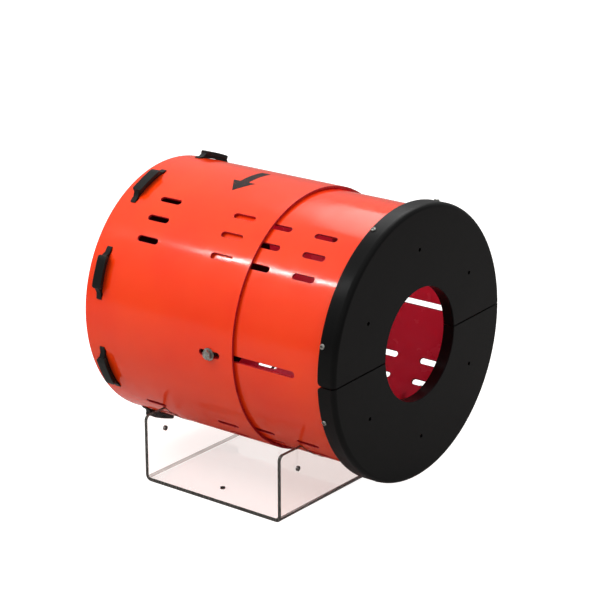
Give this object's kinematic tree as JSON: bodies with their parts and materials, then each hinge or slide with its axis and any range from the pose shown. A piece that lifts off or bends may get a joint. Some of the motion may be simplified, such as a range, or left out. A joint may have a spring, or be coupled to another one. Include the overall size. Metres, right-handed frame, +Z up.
{
  "type": "telescoping shaft coupling guard",
  "caption": "Telescoping tubular guard for a machine shaft coupling, with split end plates, ventilation slots and a clear saddle bracket.",
  "frame": {"origin": "on the floor under the middle of the guard: midway along the shaft's direction and midway across", "axes": "+X along the guarded shaft towards the front plate, +Z up, -Y towards the viewer's side"},
  "size_m": [0.392, 0.3448, 0.3793],
  "materials": {
    "shell_orange": "glossy extruded polyethylene sheet, rolled",
    "plate_black": "satin black routed polyethylene",
    "clip_black": "satin black moulded nylon",
    "zinc_hardware": "bright zinc-plated steel",
    "clear_acrylic": "clear polished acrylic sheet"
  },
  "bodies": {
    "rear_section": {"outer_shell": "shell_orange", "rear_plate_upper": "plate_black", "rear_plate_lower": "plate_black", "end_clip_1": "clip_black", "end_clip_2": "clip_black", "end_clip_3": "clip_black", "end_clip_4": "clip_black", "end_clip_5": "clip_black", "end_clip_6": "clip_black", "end_clip_7": "clip_black", "end_clip_8": "clip_black", "saddle_bracket": "clear_acrylic"},
    "front_section": {"inner_shell": "shell_orange", "front_plate_upper": "plate_black", "front_plate_lower": "plate_black", "rim_screw_1": "zinc_hardware", "rim_screw_2": "zinc_hardware", "rim_screw_3": "zinc_hardware", "rim_screw_4": "zinc_hardware", "rim_screw_5": "zinc_hardware", "rim_screw_6": "zinc_hardware", "rim_screw_7": "zinc_hardware", "rim_screw_8": "zinc_hardware"},
    "near_clamp": {"clamp_bolt_near": "zinc_hardware", "clamp_outer_washer_near": "zinc_hardware", "clamp_inner_washer_near": "zinc_hardware", "clamp_nut_near": "zinc_hardware"},
    "far_clamp": {"clamp_bolt_far": "zinc_hardware", "clamp_outer_washer_far": "zinc_hardware", "clamp_inner_washer_far": "zinc_hardware", "clamp_nut_far": "zinc_hardware"}
  },
  "joints": [
    {"name": "telescope", "type": "slide", "parent": "rear_section", "child": "front_section", "axis": [1, 0, 0], "range_m": [-0.07, 0.021]},
    {"name": "near_clamp_slide", "type": "slide", "parent": "rear_section", "child": "near_clamp", "axis": [1, 0, 0], "range_m": [-0.012, 0.012]},
    {"name": "far_clamp_slide", "type": "slide", "parent": "rear_section", "child": "far_clamp", "axis": [1, 0, 0], "range_m": [-0.012, 0.012]}
  ]
}
